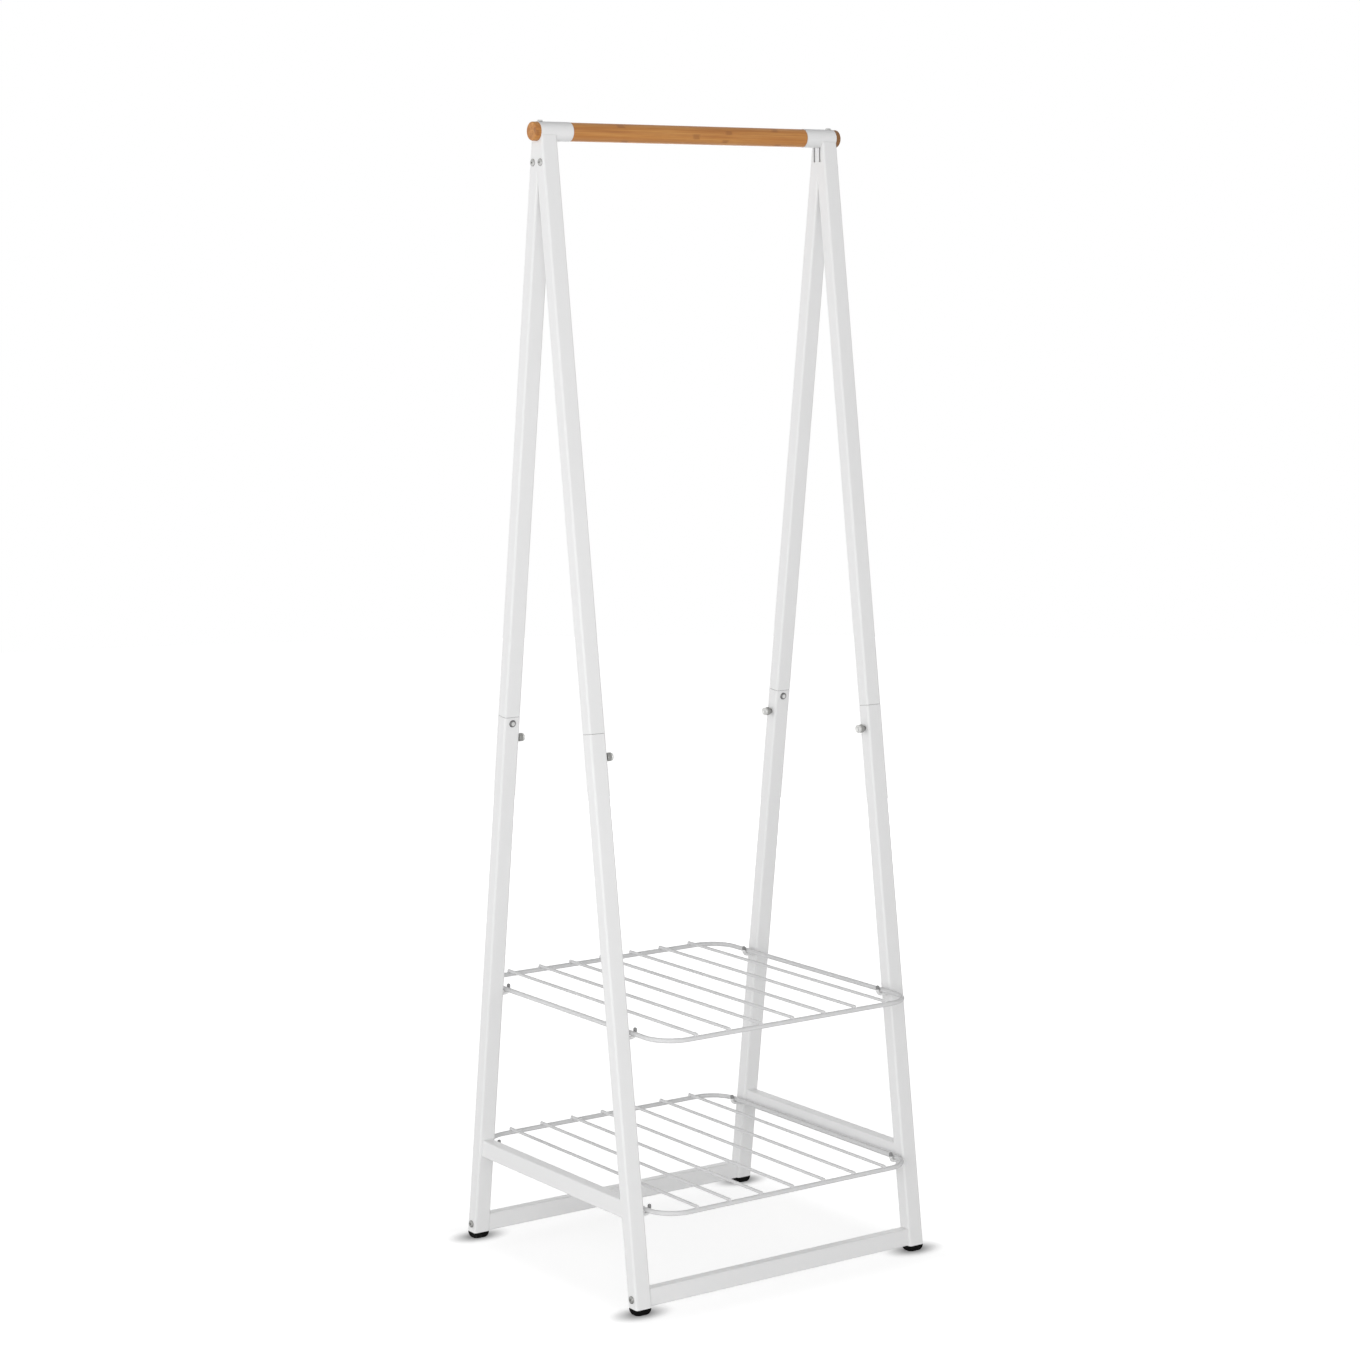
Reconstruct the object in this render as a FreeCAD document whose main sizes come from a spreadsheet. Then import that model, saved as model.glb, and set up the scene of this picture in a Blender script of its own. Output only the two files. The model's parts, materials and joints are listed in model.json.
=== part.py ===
import FreeCAD, Part
import os
import re
import Sketcher
from FreeCAD import Placement, Rotation, Vector

# Free-standing clothes rack: two leaning A-frames of rectangular tube, a bamboo hanging bar between their
# tops, two lower rails, and two wire shelves that hang in hooks. Millimetres, +X along the bar to the
# right, -Y to the front, +Z up, origin on the floor at the middle.

# Driving dimensions: name, value, meaning
SIZES = [
    ("frame_width", 563, "between the middle planes of the left and right A-frames"),
    ("floor_spread", 500, "between front and rear leg centrelines, on the floor"),
    ("bar_height", 1880, "height of the bar axis"),
    ("apex_rise", 15, "where the front and rear leg centrelines meet, above the bar axis"),
    ("leg_width", 30, "outside width of the leg tube, along the bar"),
    ("leg_depth", 25, "outside depth of the leg tube, in the plane of its A-frame"),
    ("leg_corner", 4, "outside corner radius of the leg tube"),
    ("leg_wall", 1.2, "wall of the leg tube"),
    ("leg_top_drop", 6, "leg tops below the bar axis"),
    ("seam_height", 926, "height of the seam between upper and lower legs, on the centreline"),
    ("seam_bevel", 0.5, "bevel on the tube ends at the seam"),
    ("seat_gap", 0.1, "gap between a seated piece and its seat"),
    ("bar_diameter", 30, "bamboo bar"),
    ("bar_bevel", 0.6, "bevel on the shoulders of the bar"),
    ("tenon_length", 33, "turned-down end of the bar inside a sleeve"),
    ("sleeve_diameter", 31, "outside of the sleeve"),
    ("sleeve_wall", 2, "wall of the sleeve"),
    ("sleeve_inside", 46.5, "inner end of the sleeve from the middle plane of its A-frame"),
    ("sleeve_outside", 14.5, "outer end of the sleeve from that plane"),
    ("cap_diameter", 30, "bamboo end cap"),
    ("cap_thickness", 10, "end cap outside the sleeve"),
    ("cap_round", 2.5, "rounding of the end cap"),
    ("cap_stub", 22, "stub of the end cap inside the sleeve"),
    ("cap_screw_inset", 6.5, "cap screw from the outer end of the sleeve"),
    ("cap_screw_shank", 4, "shank of the cap screw"),
    ("cap_screw_depth", 11, "length of the cap screw below its head"),
    ("cap_screw_head", 9.5, "head of the cap screw"),
    ("cap_screw_rise", 2.6, "height of the cap screw's head"),
    ("plate_thickness", 4, "plate inside the leg tops"),
    ("plate_drop", 64, "lower edge of the plate below the bar axis"),
    ("plate_gap", 0.5, "gap between the plate and the rounded inside corners of the legs"),
    ("web_thickness", 6, "webs that stand in the slots of the leg tops"),
    ("web_spacing", 15, "between the two webs"),
    ("web_recess", 2.4, "webs end this far inside the slots' mouths"),
    ("slot_drop", 39, "lower end of the slots below the bar axis"),
    ("slot_gap", 0.4, "gap round a web in its slot"),
    ("top_bolt_spacing", 22, "between the two bolts of a leg top"),
    ("top_bolt_drop", 49, "leg top bolts below the bar axis"),
    ("top_bolt_shank", 5, "shank of the leg top bolts"),
    ("top_bolt_head", 12, "head of the leg top bolts"),
    ("top_bolt_rise", 2.4, "height of the leg top bolts' heads"),
    ("hole_gap", 0.3, "gap round a shank in a plain hole"),
    ("thread_gap", 0.05, "gap round a shank in its thread"),
    ("connector_gap", 0.2, "gap between the connector and the leg tube, each side"),
    ("connector_wall", 1.5, "wall of the connector"),
    ("connector_above", 60, "connector inside the upper leg"),
    ("connector_below", 75, "connector inside the lower leg"),
    ("collar_thickness", 0.5, "stop collar of the connector, between the ends of the legs"),
    ("collar_recess", 0.6, "that collar inside the outer faces of the legs"),
    ("button_drop", 10.5, "snap button below the seam"),
    ("button_diameter", 12, "snap button"),
    ("button_proud", 2.5, "snap button outside the leg"),
    ("button_round", 2.3, "rounding of the snap button"),
    ("button_flange", 15.5, "flange of the snap button, inside the connector"),
    ("flange_thickness", 1.5, "thickness of that flange"),
    ("spring_strip", 0.8, "thickness of the leaf spring"),
    ("spring_width", 8, "width of the leaf spring"),
    ("spring_tail", 19, "bend of the leaf spring below the button axis"),
    ("spring_back", 8, "back leaf of the spring above the button axis"),
    ("spring_pad", 4.5, "front leaf of the spring above and below the button axis"),
    ("thumb_drop", 39, "thumbscrew below the seam"),
    ("thumb_thread", 6, "thread of the thumbscrew"),
    ("thumb_neck", 8, "neck of the thumbscrew"),
    ("thumb_neck_length", 4.5, "length of the neck"),
    ("thumb_head", 14, "head of the thumbscrew"),
    ("thumb_head_length", 11, "length of the head"),
    ("thumb_bevel", 1.2, "bevel of the head"),
    ("thumb_nut_width", 10, "nut of the thumbscrew, across flats"),
    ("thumb_nut_thickness", 5, "thickness of that nut"),
    ("side_rail_base", 150, "underside of the side rails"),
    ("side_rail_height", 30, "height of the side rails"),
    ("side_rail_width", 20, "width of the side rails"),
    ("floor_rail_base", 10, "underside of the lower rails"),
    ("floor_rail_height", 30, "height of the lower rails"),
    ("floor_rail_width", 18, "thickness of the lower rails"),
    ("rail_wall", 1.2, "wall of the rails"),
    ("rail_corner", 2.5, "outside corner radius of the rails"),
    ("plug_length", 25, "threaded plugs in the lower rails"),
    ("rail_bolt_shank", 6, "shank of the lower rail bolts"),
    ("rail_bolt_grip", 20, "lower rail bolt inside its plug"),
    ("rail_bolt_head", 12.5, "head of the lower rail bolts"),
    ("rail_bolt_rise", 3, "height of the lower rail bolts' heads"),
    ("head_round", 0.8, "rounding of a bolt's head, as a share of its height"),
    ("socket_width", 3.5, "hexagon socket of the bolts, across flats"),
    ("socket_depth", 1.6, "depth of the socket"),
    ("foot_height", 10, "black foot under the leg tube"),
    ("foot_waist", 4, "height where the foot is nearly full width"),
    ("foot_waist_inset", 0.4, "inset of the foot at that height, each side"),
    ("foot_waist_corner", 5.5, "corner radius of the foot at that height"),
    ("foot_sole_inset", 2, "inset of the foot at the floor, each side"),
    ("foot_sole_corner", 8, "corner radius of the foot at the floor"),
    ("foot_plug", 8, "plug of the foot inside the leg"),
    ("shelf_reach", 51.5, "front and rear rim wires past the lower hooks"),
    ("hook_margin", 1.5, "straight rim wire past the lower hooks, before the corner's bend"),
    ("rim_wire", 8, "rim wire of the shelves"),
    ("rim_standoff", 10, "rim wire's centre from the inner faces of the legs"),
    ("cross_wire", 5.4, "cross wires of the shelves"),
    ("cross_count", 7, "cross wires in a shelf"),
    ("cross_edge", 64.5, "outermost cross wires from the side rim wires"),
    ("cross_overhang", 2.5, "cross wires past the rim wire's centre"),
    ("weld_depth", 0.6, "cross wires sunk into the rim wire by the weld"),
    ("upper_shelf_height", 446, "rim wire of the upper shelf"),
    ("lower_shelf_height", 163, "rim wire of the lower shelf"),
    ("hook_rod", 6, "bent rod of the shelf hooks"),
    ("hook_gap", 0.3, "gap between a hook and the rim wire"),
    ("hook_rise", 8, "tip of a hook above the rim wire's centre"),
    ("hook_round", 2.5, "rounding of the hook's tip"),
    ("hook_collar", 10, "collar of a hook against its leg"),
    ("hook_collar_length", 2, "length of that collar"),
    ("hook_nut_width", 10, "nut of a hook, across flats"),
    ("hook_nut_thickness", 4, "thickness of that nut"),
]
NAMES = {name for name, number, meaning in SIZES}

# Left and right, front and rear, as signs along X and Y
SIDES = {"left": -1, "right": 1}
ENDS = {"front": -1, "rear": 1}
CORNERS = [(end + "_" + side, SIDES[side], ENDS[end]) for end in ENDS for side in SIDES]

# Values that follow from the driving dimensions
HALF = "floor_spread / 2"
APEX = "(bar_height + apex_rise)"
LEAN = f"atan({HALF} / {APEX})"
SEAM = f"seam_height / cos({LEAN})"
UPPER_START = f"({SEAM} + collar_thickness / 2)"
LOWER_END = f"({SEAM} - collar_thickness / 2)"
WIDTH_INSIDE = "(leg_width - 2 * leg_wall)"
DEPTH_INSIDE = "(leg_depth - 2 * leg_wall)"
INNER_CORNER = "(leg_corner - leg_wall)"
LEG_TOP = "(bar_height - leg_top_drop)"
SPIGOT_WIDTH = f"({WIDTH_INSIDE} - 2 * connector_gap)"
SPIGOT_DEPTH = f"({DEPTH_INSIDE} - 2 * connector_gap)"
BORE_WIDTH = f"({SPIGOT_WIDTH} - 2 * connector_wall)"
BORE_DEPTH = f"({SPIGOT_DEPTH} - 2 * connector_wall)"
SLEEVE_BORE = "(sleeve_diameter - 2 * sleeve_wall)"
SLEEVE_START = "(frame_width / 2 - sleeve_inside)"
SLEEVE_END = "(frame_width / 2 + sleeve_outside)"
OUTER_FACE = "(frame_width / 2 + leg_width / 2)"
INNER_FACE = "(frame_width / 2 - leg_width / 2)"
RIM_HALF_WIDTH = f"({INNER_FACE} - rim_standoff)"
BUTTON_PLACE = f"({SEAM} - button_drop)"
THUMB_PLACE = f"({SEAM} - thumb_drop)"
RAIL_BOLT_HEIGHT = "(floor_rail_base + floor_rail_height / 2)"
TOP_BOLT_HEIGHT = "(bar_height - top_bolt_drop)"
HOOK_DROP = "(rim_wire / 2 + hook_gap + hook_rod / 2)"
HOOK_HEIGHTS = {level: f"({level}_shelf_height - {HOOK_DROP})" for level in ("upper", "lower")}
SHELF_HALF_DEPTH = f"({HALF} - {HOOK_HEIGHTS['lower']} * tan({LEAN}) + shelf_reach)"
CLEAR = "2 * leg_width"

doc = FreeCAD.newDocument("clothes_rack")
sheet = doc.addObject("Spreadsheet::Sheet", "sizes")
for row, (name, number, meaning) in enumerate(SIZES, start=1):
    sheet.set(f"A{row}", meaning)
    sheet.set(f"B{row}", str(number))
    sheet.setAlias(f"B{row}", name)
doc.recompute()
nodes = []


# Sizes and expressions

def spelled(text):
    """The expression with each size's name led by its sheet."""
    def lead(word):
        name = word.group()
        return "sizes." + name if name in NAMES else name
    return re.sub(r"[a-z_]+", lead, text)


def value(text):
    """The number that an expression of sizes gives now."""
    result = sheet.evalExpression(spelled(text))
    return float(getattr(result, "Value", result))


def bind(item, path, text):
    item.setExpression(path, spelled(text))


def centreline(height):
    """Distance of a leg's centreline from the middle plane, at a height."""
    return f"({HALF} - ({height}) * tan({LEAN}))"


def along_leg(height):
    """Distance along a leg's centreline from the floor up to a height."""
    return f"(({height}) / cos({LEAN}))"


def in_leg(end, away, height):
    """A point of the side view, away from the middle plane and above the floor, in a leg's own frame."""
    across = f"{end} * ((({away}) - {HALF}) * cos({LEAN}) + ({height}) * sin({LEAN}))"
    along = f"({HALF} - ({away})) * sin({LEAN}) + ({height}) * cos({LEAN})"
    return across, along


# Bodies and their places

def new_body(name, node=True):
    body = doc.addObject("PartDesign::Body", name)
    body.Label = name
    if node:
        nodes.append(body)
    return body


def place(item, x, y, z, axis=None, angle="0"):
    """Bind a placement; the turn about axis, where there is one, is bound too."""
    if axis is not None:
        item.Placement = Placement(Vector(), Rotation(axis, value(angle)))
        bind(item, "Placement.Rotation.Angle", angle)
    for letter, text in zip("xyz", (x, y, z)):
        bind(item, "Placement.Base." + letter, text)


def place_on_leg(body, side, end):
    """A leg's own frame: origin on the floor, Z up along the leg, X and Y across it."""
    place(body, f"{side} * frame_width / 2", f"{end} * {HALF}", "0", Vector(end, 0, 0), LEAN)


def group(name, item, spots):
    """One node of separate, equal solids: item at each spot, turned round for the left side."""
    copies = []
    for x, y, z, side in spots:
        copy = doc.addObject("App::Link", name + "_copy")
        copy.LinkedObject = item
        copy.Placement = Placement(Vector(), Rotation(Vector(0, 0, 1), 0 if side > 0 else 180))
        for letter, text in zip("xyz", (x, y, z)):
            bind(copy, "Placement.Base." + letter, text)
        copies.append(copy)
    whole = doc.addObject("Part::Compound", name)
    whole.Links = copies
    whole.Label = name
    nodes.append(whole)


# Sketches

def new_sketch(body, plane, across="0", along="0", up="0"):
    sketch = body.newObject("Sketcher::SketchObject", "sketch")
    support = [feature for feature in body.Origin.OriginFeatures if feature.Role == plane]
    sketch.AttachmentSupport = [(support[0], "")]
    sketch.MapMode = "FlatFace"
    for letter, text in zip("xyz", (across, along, up)):
        bind(sketch, "AttachmentOffset.Base." + letter, text)
    return sketch


def dimension(sketch, kind, where, text):
    index = sketch.addConstraint(Sketcher.Constraint(kind, *where, value(text)))
    name = f"size_{index}"
    sketch.renameConstraint(index, name)
    bind(sketch, "Constraints." + name, text)


def locate(sketch, shape, point, x, y):
    """Tie a point of a sketch to a place measured from the sketch's origin."""
    dimension(sketch, "DistanceX", (-1, 1, shape, point), x)
    dimension(sketch, "DistanceY", (-1, 1, shape, point), y)


def circle(sketch, diameter, x="0", y="0"):
    centre = Vector(value(x), value(y), 0)
    shape = sketch.addGeometry(Part.Circle(centre, Vector(0, 0, 1), value(diameter) / 2), False)
    dimension(sketch, "Diameter", (shape,), diameter)
    locate(sketch, shape, 3, x, y)


def polyline(sketch, corners):
    """A closed outline of straight edges, each corner given by two expressions."""
    points = [Vector(value(x), value(y), 0) for x, y in corners]
    count = len(points)
    lines = []
    for index in range(count):
        edge = Part.LineSegment(points[index], points[(index + 1) % count])
        lines.append(sketch.addGeometry(edge, False))
    for index in range(count):
        joint = (lines[index], 2, lines[(index + 1) % count], 1)
        sketch.addConstraint(Sketcher.Constraint("Coincident", *joint))
    for line, (x, y) in zip(lines, corners):
        locate(sketch, line, 1, x, y)


def hexagon(sketch, width, y="0", z="0"):
    """A regular hexagon, width across flats, with a corner at each end of its first axis."""
    reach = f"({width}) / sqrt(3)"
    corners = [(f"({y}) + ({reach}) * cos({60 * step} deg)", f"({z}) + ({reach}) * sin({60 * step} deg)")
               for step in range(6)]
    polyline(sketch, corners)


def rounded_rectangle(sketch, width, height, radius, y="0"):
    """A rectangle with round corners, centred on the first axis at y."""
    round_off = value(radius)
    reach_x = value(width) / 2 - round_off
    reach_y = value(height) / 2 - round_off
    middle = value(y)
    corners = [(1, 1), (-1, 1), (-1, -1), (1, -1)]
    centres = [Vector(a * reach_x, middle + b * reach_y, 0) for a, b in corners]
    starts = [Vector(round_off * c, round_off * s, 0) for c, s in ((1, 0), (0, 1), (-1, 0), (0, -1))]
    middles = [Vector(a * round_off, b * round_off, 0) * 0.5 ** 0.5 for a, b in corners]
    arcs = []
    lines = []
    for index, centre in enumerate(centres):
        follow = starts[(index + 1) % 4]
        bend = Part.Arc(centre + starts[index], centre + middles[index], centre + follow)
        arcs.append(sketch.addGeometry(bend, False))
        run = Part.LineSegment(centre + follow, centres[(index + 1) % 4] + follow)
        lines.append(sketch.addGeometry(run, False))
    for index in range(4):
        sketch.addConstraint(Sketcher.Constraint("Tangent", arcs[index], 2, lines[index], 1))
        sketch.addConstraint(Sketcher.Constraint("Tangent", lines[index], 2, arcs[(index + 1) % 4], 1))
    for index in range(1, 4):
        sketch.addConstraint(Sketcher.Constraint("Equal", arcs[0], arcs[index]))
    dimension(sketch, "Radius", (arcs[0],), radius)
    for line, sign in ((0, 1), (2, -1)):
        sketch.addConstraint(Sketcher.Constraint("Horizontal", lines[line]))
        dimension(sketch, "DistanceY", (-1, 1, lines[line], 1), f"({y}) + {sign} * ({height}) / 2")
    for line, sign in ((1, -1), (3, 1)):
        sketch.addConstraint(Sketcher.Constraint("Vertical", lines[line]))
        dimension(sketch, "DistanceX", (-1, 1, lines[line], 1), f"{sign} * ({width}) / 2")


# Features

def pad(body, sketch, length, symmetric=False, backward=False):
    feature = body.newObject("PartDesign::Pad", "pad")
    feature.Profile = sketch
    feature.Reversed = backward
    feature.SideType = "Symmetric" if symmetric else "One side"
    bind(feature, "Length", length)
    return feature


def pocket(body, sketch, way="both", depth=None):
    """Cut a sketch through both sides, or only with or against its normal, and see that it cut."""
    doc.recompute()
    before = body.Shape.Volume
    feature = body.newObject("PartDesign::Pocket", "pocket")
    feature.Profile = sketch
    feature.SideType = "Symmetric" if way == "both" else "One side"
    feature.Reversed = way == "with"
    if depth is None:
        feature.Type = "ThroughAll"
    else:
        bind(feature, "Length", depth)
    doc.recompute()
    if not body.Shape.Volume < before:
        raise ValueError(f"a pocket of {body.Label} cuts nothing")


def revolve(body, sketch, axis="H_Axis"):
    feature = body.newObject("PartDesign::Revolution", "turned")
    feature.Profile = sketch
    feature.ReferenceAxis = (sketch, [axis])
    return feature


def dress(body, kind, chosen, size):
    """A fillet or chamfer on the body's edges for which chosen(edge) holds."""
    doc.recompute()
    tip = body.Tip
    names = [f"Edge{number}" for number, edge in enumerate(tip.Shape.Edges, start=1) if chosen(edge)]
    feature = body.newObject("PartDesign::" + kind, kind.lower())
    feature.Base = (tip, names)
    bind(feature, "Radius" if kind == "Fillet" else "Size", size)
    doc.recompute()


def ring_at(axis, place_text, diameter_text):
    """A test for whole circular edges of one diameter, at one place along an axis."""
    spot = value(place_text)
    radius = value(diameter_text) / 2

    def test(edge):
        if not isinstance(edge.Curve, Part.Circle):
            return False
        centre = getattr(edge.Curve.Center, axis)
        return abs(centre - spot) < 1e-6 and abs(edge.Curve.Radius - radius) < 1e-6
    return test


# Legs

def leg_tube(body, low, high):
    section = new_sketch(body, "XY_Plane", up=low)
    rounded_rectangle(section, "leg_width", "leg_depth", "leg_corner")
    rounded_rectangle(section, WIDTH_INSIDE, DEPTH_INSIDE, INNER_CORNER)
    pad(body, section, f"({high}) - ({low})")


def bevel_end(body, end):
    """Bevel the outside of the tube's end, at a place along the leg."""
    level = value(end)
    inside_x = value(WIDTH_INSIDE) / 2
    inside_y = value(DEPTH_INSIDE) / 2
    tiny = 1e-6

    def outer_edge(edge):
        box = edge.BoundBox
        if abs(box.ZMin - level) > tiny or abs(box.ZMax - level) > tiny:
            return False
        reach_x = max(abs(box.XMin), abs(box.XMax))
        reach_y = max(abs(box.YMin), abs(box.YMax))
        return reach_x > inside_x + tiny or reach_y > inside_y + tiny
    dress(body, "Chamfer", outer_edge, "seam_bevel")


def toward(sign):
    """The way of a pocket from the middle plane of a leg, in the direction of sign along X."""
    return "with" if sign > 0 else "against"


def hole_across(body, diameter, spot, way):
    """A round hole along X, at spot in the side view of a leg's own frame."""
    sketch = new_sketch(body, "YZ_Plane")
    circle(sketch, diameter, *spot)
    pocket(body, sketch, way)


def button_hole(body, end):
    """The hole for the snap button, in the wall that looks at the other leg."""
    sketch = new_sketch(body, "XZ_Plane")
    circle(sketch, "button_diameter + 2 * hole_gap", "0", BUTTON_PLACE)
    pocket(body, sketch, "with" if end > 0 else "against")


def upper_leg(name, side, end):
    body = new_body("upper_leg_" + name)
    leg_tube(body, UPPER_START, f"{HALF} / sin({LEAN})")
    # The two legs of a frame meet in the middle plane and end flat below the bar axis
    top = new_sketch(body, "YZ_Plane")
    low = f"{APEX} - {CLEAR} / tan({LEAN})"
    high = f"{LEG_TOP} + 2 * {CLEAR}"
    outline = [("0", low), ("0", LEG_TOP), (CLEAR, LEG_TOP), (CLEAR, high),
               (f"-({CLEAR})", high), (f"-({CLEAR})", low)]
    polyline(top, [in_leg(end, away, height) for away, height in outline])
    pocket(body, top)
    # A saddle for the sleeve
    saddle = new_sketch(body, "YZ_Plane")
    circle(saddle, "sleeve_diameter + 2 * seat_gap", *in_leg(end, "0", "bar_height"))
    pocket(body, saddle)
    bolt_spot = in_leg(end, "top_bolt_spacing / 2", TOP_BOLT_HEIGHT)
    hole_across(body, "top_bolt_shank + 2 * hole_gap", bolt_spot, toward(side))
    # An upright slot in the inner wall, open at the saddle
    slot = new_sketch(body, "YZ_Plane")
    near = "(web_spacing / 2 - web_thickness / 2 - slot_gap)"
    far = "(web_spacing / 2 + web_thickness / 2 + slot_gap)"
    bottom = "(bar_height - slot_drop)"
    corners = [(near, bottom), (far, bottom), (far, "bar_height"), (near, "bar_height")]
    polyline(slot, [in_leg(end, away, height) for away, height in corners])
    pocket(body, slot, toward(-side))
    bevel_end(body, UPPER_START)
    place_on_leg(body, side, end)


def lower_leg(name, side, end):
    body = new_body("lower_leg_" + name)
    leg_tube(body, "0", LOWER_END)
    # The lower end is level, on top of the foot
    floor_cut = new_sketch(body, "YZ_Plane")
    near = f"{HALF} - {CLEAR}"
    far = f"{HALF} + {CLEAR}"
    corners = [(near, f"-({CLEAR})"), (far, f"-({CLEAR})"), (far, "foot_height"), (near, "foot_height")]
    polyline(floor_cut, [in_leg(end, away, height) for away, height in corners])
    pocket(body, floor_cut)
    hole_across(body, "rail_bolt_shank + 2 * hole_gap", ("0", along_leg(RAIL_BOLT_HEIGHT)), "both")
    hole_across(body, "thumb_thread + 2 * hole_gap", ("0", THUMB_PLACE), toward(-side))
    for height in HOOK_HEIGHTS.values():
        hole_across(body, "hook_rod + 2 * hole_gap", ("0", along_leg(height)), toward(-side))
    button_hole(body, end)
    bevel_end(body, LOWER_END)
    place_on_leg(body, side, end)


def leg_connector(name, side, end):
    """The spigot that joins an upper leg to its lower leg, with a stop collar between their ends."""
    body = new_body("leg_connector_" + name)
    section = new_sketch(body, "XY_Plane", up=f"{SEAM} - connector_below")
    rounded_rectangle(section, SPIGOT_WIDTH, SPIGOT_DEPTH, INNER_CORNER)
    rounded_rectangle(section, BORE_WIDTH, BORE_DEPTH, f"{INNER_CORNER} - connector_wall")
    pad(body, section, "connector_below + connector_above")
    collar = new_sketch(body, "XY_Plane", up=LOWER_END)
    rounded_rectangle(collar, "leg_width - 2 * collar_recess", "leg_depth - 2 * collar_recess",
                      "leg_corner - collar_recess")
    rounded_rectangle(collar, BORE_WIDTH, BORE_DEPTH, f"{INNER_CORNER} - connector_wall")
    pad(body, collar, "collar_thickness")
    hole_across(body, "thumb_thread + 2 * hole_gap", ("0", THUMB_PLACE), toward(-side))
    button_hole(body, end)
    place_on_leg(body, side, end)


def snap_button(name, side, end):
    """A domed button with a flange inside the connector, turned about the leg's cross axis."""
    body = new_body("snap_button_" + name)
    profile = new_sketch(body, "YZ_Plane", along=BUTTON_PLACE)
    wall = f"({BORE_DEPTH} / 2 - seat_gap)"
    face = "(leg_depth / 2 + button_proud)"
    steps = [(f"{wall} - flange_thickness", "0"), (face, "0"), (face, "button_diameter / 2"),
             (wall, "button_diameter / 2"), (wall, "button_flange / 2"),
             (f"{wall} - flange_thickness", "button_flange / 2")]
    polyline(profile, [(f"{-end} * ({out})", radius) for out, radius in steps])
    revolve(body, profile)
    dress(body, "Fillet", ring_at("y", f"{-end} * {face}", "button_diameter"), "button_round")
    place_on_leg(body, side, end)


def button_spring(name, side, end):
    """A bent leaf spring between the button's flange and the far wall of the connector."""
    body = new_body("button_spring_" + name)
    profile = new_sketch(body, "YZ_Plane", along=BUTTON_PLACE)
    back = f"-{BORE_DEPTH} / 2"
    front = f"({BORE_DEPTH} / 2 - 2 * seat_gap - flange_thickness)"
    corners = [(back, "spring_back"), (f"{back} + spring_strip", "spring_back"),
               (f"{back} + spring_strip", "-spring_tail + 2 * spring_strip"),
               (f"{front} - spring_strip", "-spring_pad"), (f"{front} - spring_strip", "spring_pad"),
               (front, "spring_pad"), (front, "-spring_pad - spring_strip"),
               (f"{back} + 2 * spring_strip", "-spring_tail"), (back, "-spring_tail")]
    polyline(profile, [(f"{-end} * ({out})", height) for out, height in corners])
    pad(body, profile, "spring_width", symmetric=True)
    place_on_leg(body, side, end)


THUMB_NUT_START = f"({BORE_WIDTH} / 2 - thumb_nut_thickness)"


def thumbscrew(name, side, end):
    """The round-headed screw that locks a leg to its connector, on the inner face."""
    body = new_body("thumbscrew_" + name)
    profile = new_sketch(body, "XZ_Plane", along=THUMB_PLACE)
    seat = "(leg_width / 2 + seat_gap)"
    neck = f"({seat} + thumb_neck_length)"
    head = f"({neck} + thumb_head_length)"
    steps = [(THUMB_NUT_START, "0"), (THUMB_NUT_START, "thumb_thread / 2"), (seat, "thumb_thread / 2"),
             (seat, "thumb_neck / 2"), (neck, "thumb_neck / 2"), (neck, "thumb_head / 2 - thumb_bevel"),
             (f"{neck} + thumb_bevel", "thumb_head / 2"), (f"{head} - thumb_bevel", "thumb_head / 2"),
             (head, "thumb_head / 2 - thumb_bevel"), (head, "0")]
    polyline(profile, [(f"{-side} * ({out})", radius) for out, radius in steps])
    revolve(body, profile)
    place_on_leg(body, side, end)


def foot(name, side, end):
    """A black foot, rounder and drawn in towards the floor, with a plug that follows the leg's lean."""
    body = new_body("foot_" + name)
    depth = f"(leg_depth / cos({LEAN}))"
    sections = []
    levels = (("0", "foot_sole_inset", "foot_sole_corner"),
              ("foot_waist", "foot_waist_inset", "foot_waist_corner"),
              ("foot_height", "0", "leg_corner"))
    for level, inset, corner in levels:
        section = new_sketch(body, "XY_Plane", up=level)
        rounded_rectangle(section, f"leg_width - 2 * {inset}", f"{depth} - 2 * {inset}", corner)
        sections.append(section)
    loft = body.newObject("PartDesign::AdditiveLoft", "loft")
    loft.Profile = sections[0]
    loft.Sections = sections[1:]
    plug = new_sketch(body, "XY_Plane", up="foot_height")
    rounded_rectangle(plug, SPIGOT_WIDTH, f"{SPIGOT_DEPTH} / cos({LEAN})", INNER_CORNER)
    stub = pad(body, plug, "foot_plug")
    stub.UseCustomVector = True
    stub.AlongSketchNormal = False
    stub.Direction = Vector(0, -end * value(f"sin({LEAN})"), value(f"cos({LEAN})"))
    bind(stub, "Direction.y", f"{-end} * sin({LEAN})")
    bind(stub, "Direction.z", f"cos({LEAN})")
    place(body, f"{side} * frame_width / 2", f"{end} * {centreline('foot_height')}", "0")


# Bar and its brackets

def hanging_bar():
    body = new_body("hanging_bar")
    profile = new_sketch(body, "XZ_Plane")
    shoulder = SLEEVE_START
    tip = f"({shoulder} + tenon_length)"
    tenon = f"({SLEEVE_BORE} / 2 - seat_gap)"
    radius = "bar_diameter / 2"
    half = [(tip, "0"), (tip, tenon), (shoulder, tenon), (shoulder, f"{radius} - bar_bevel"),
            (f"{shoulder} - bar_bevel", radius)]
    mirrored = [(f"-({x})", y) for x, y in reversed(half)]
    polyline(profile, half + mirrored)
    revolve(body, profile)
    place(body, "0", "0", "bar_height")


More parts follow.
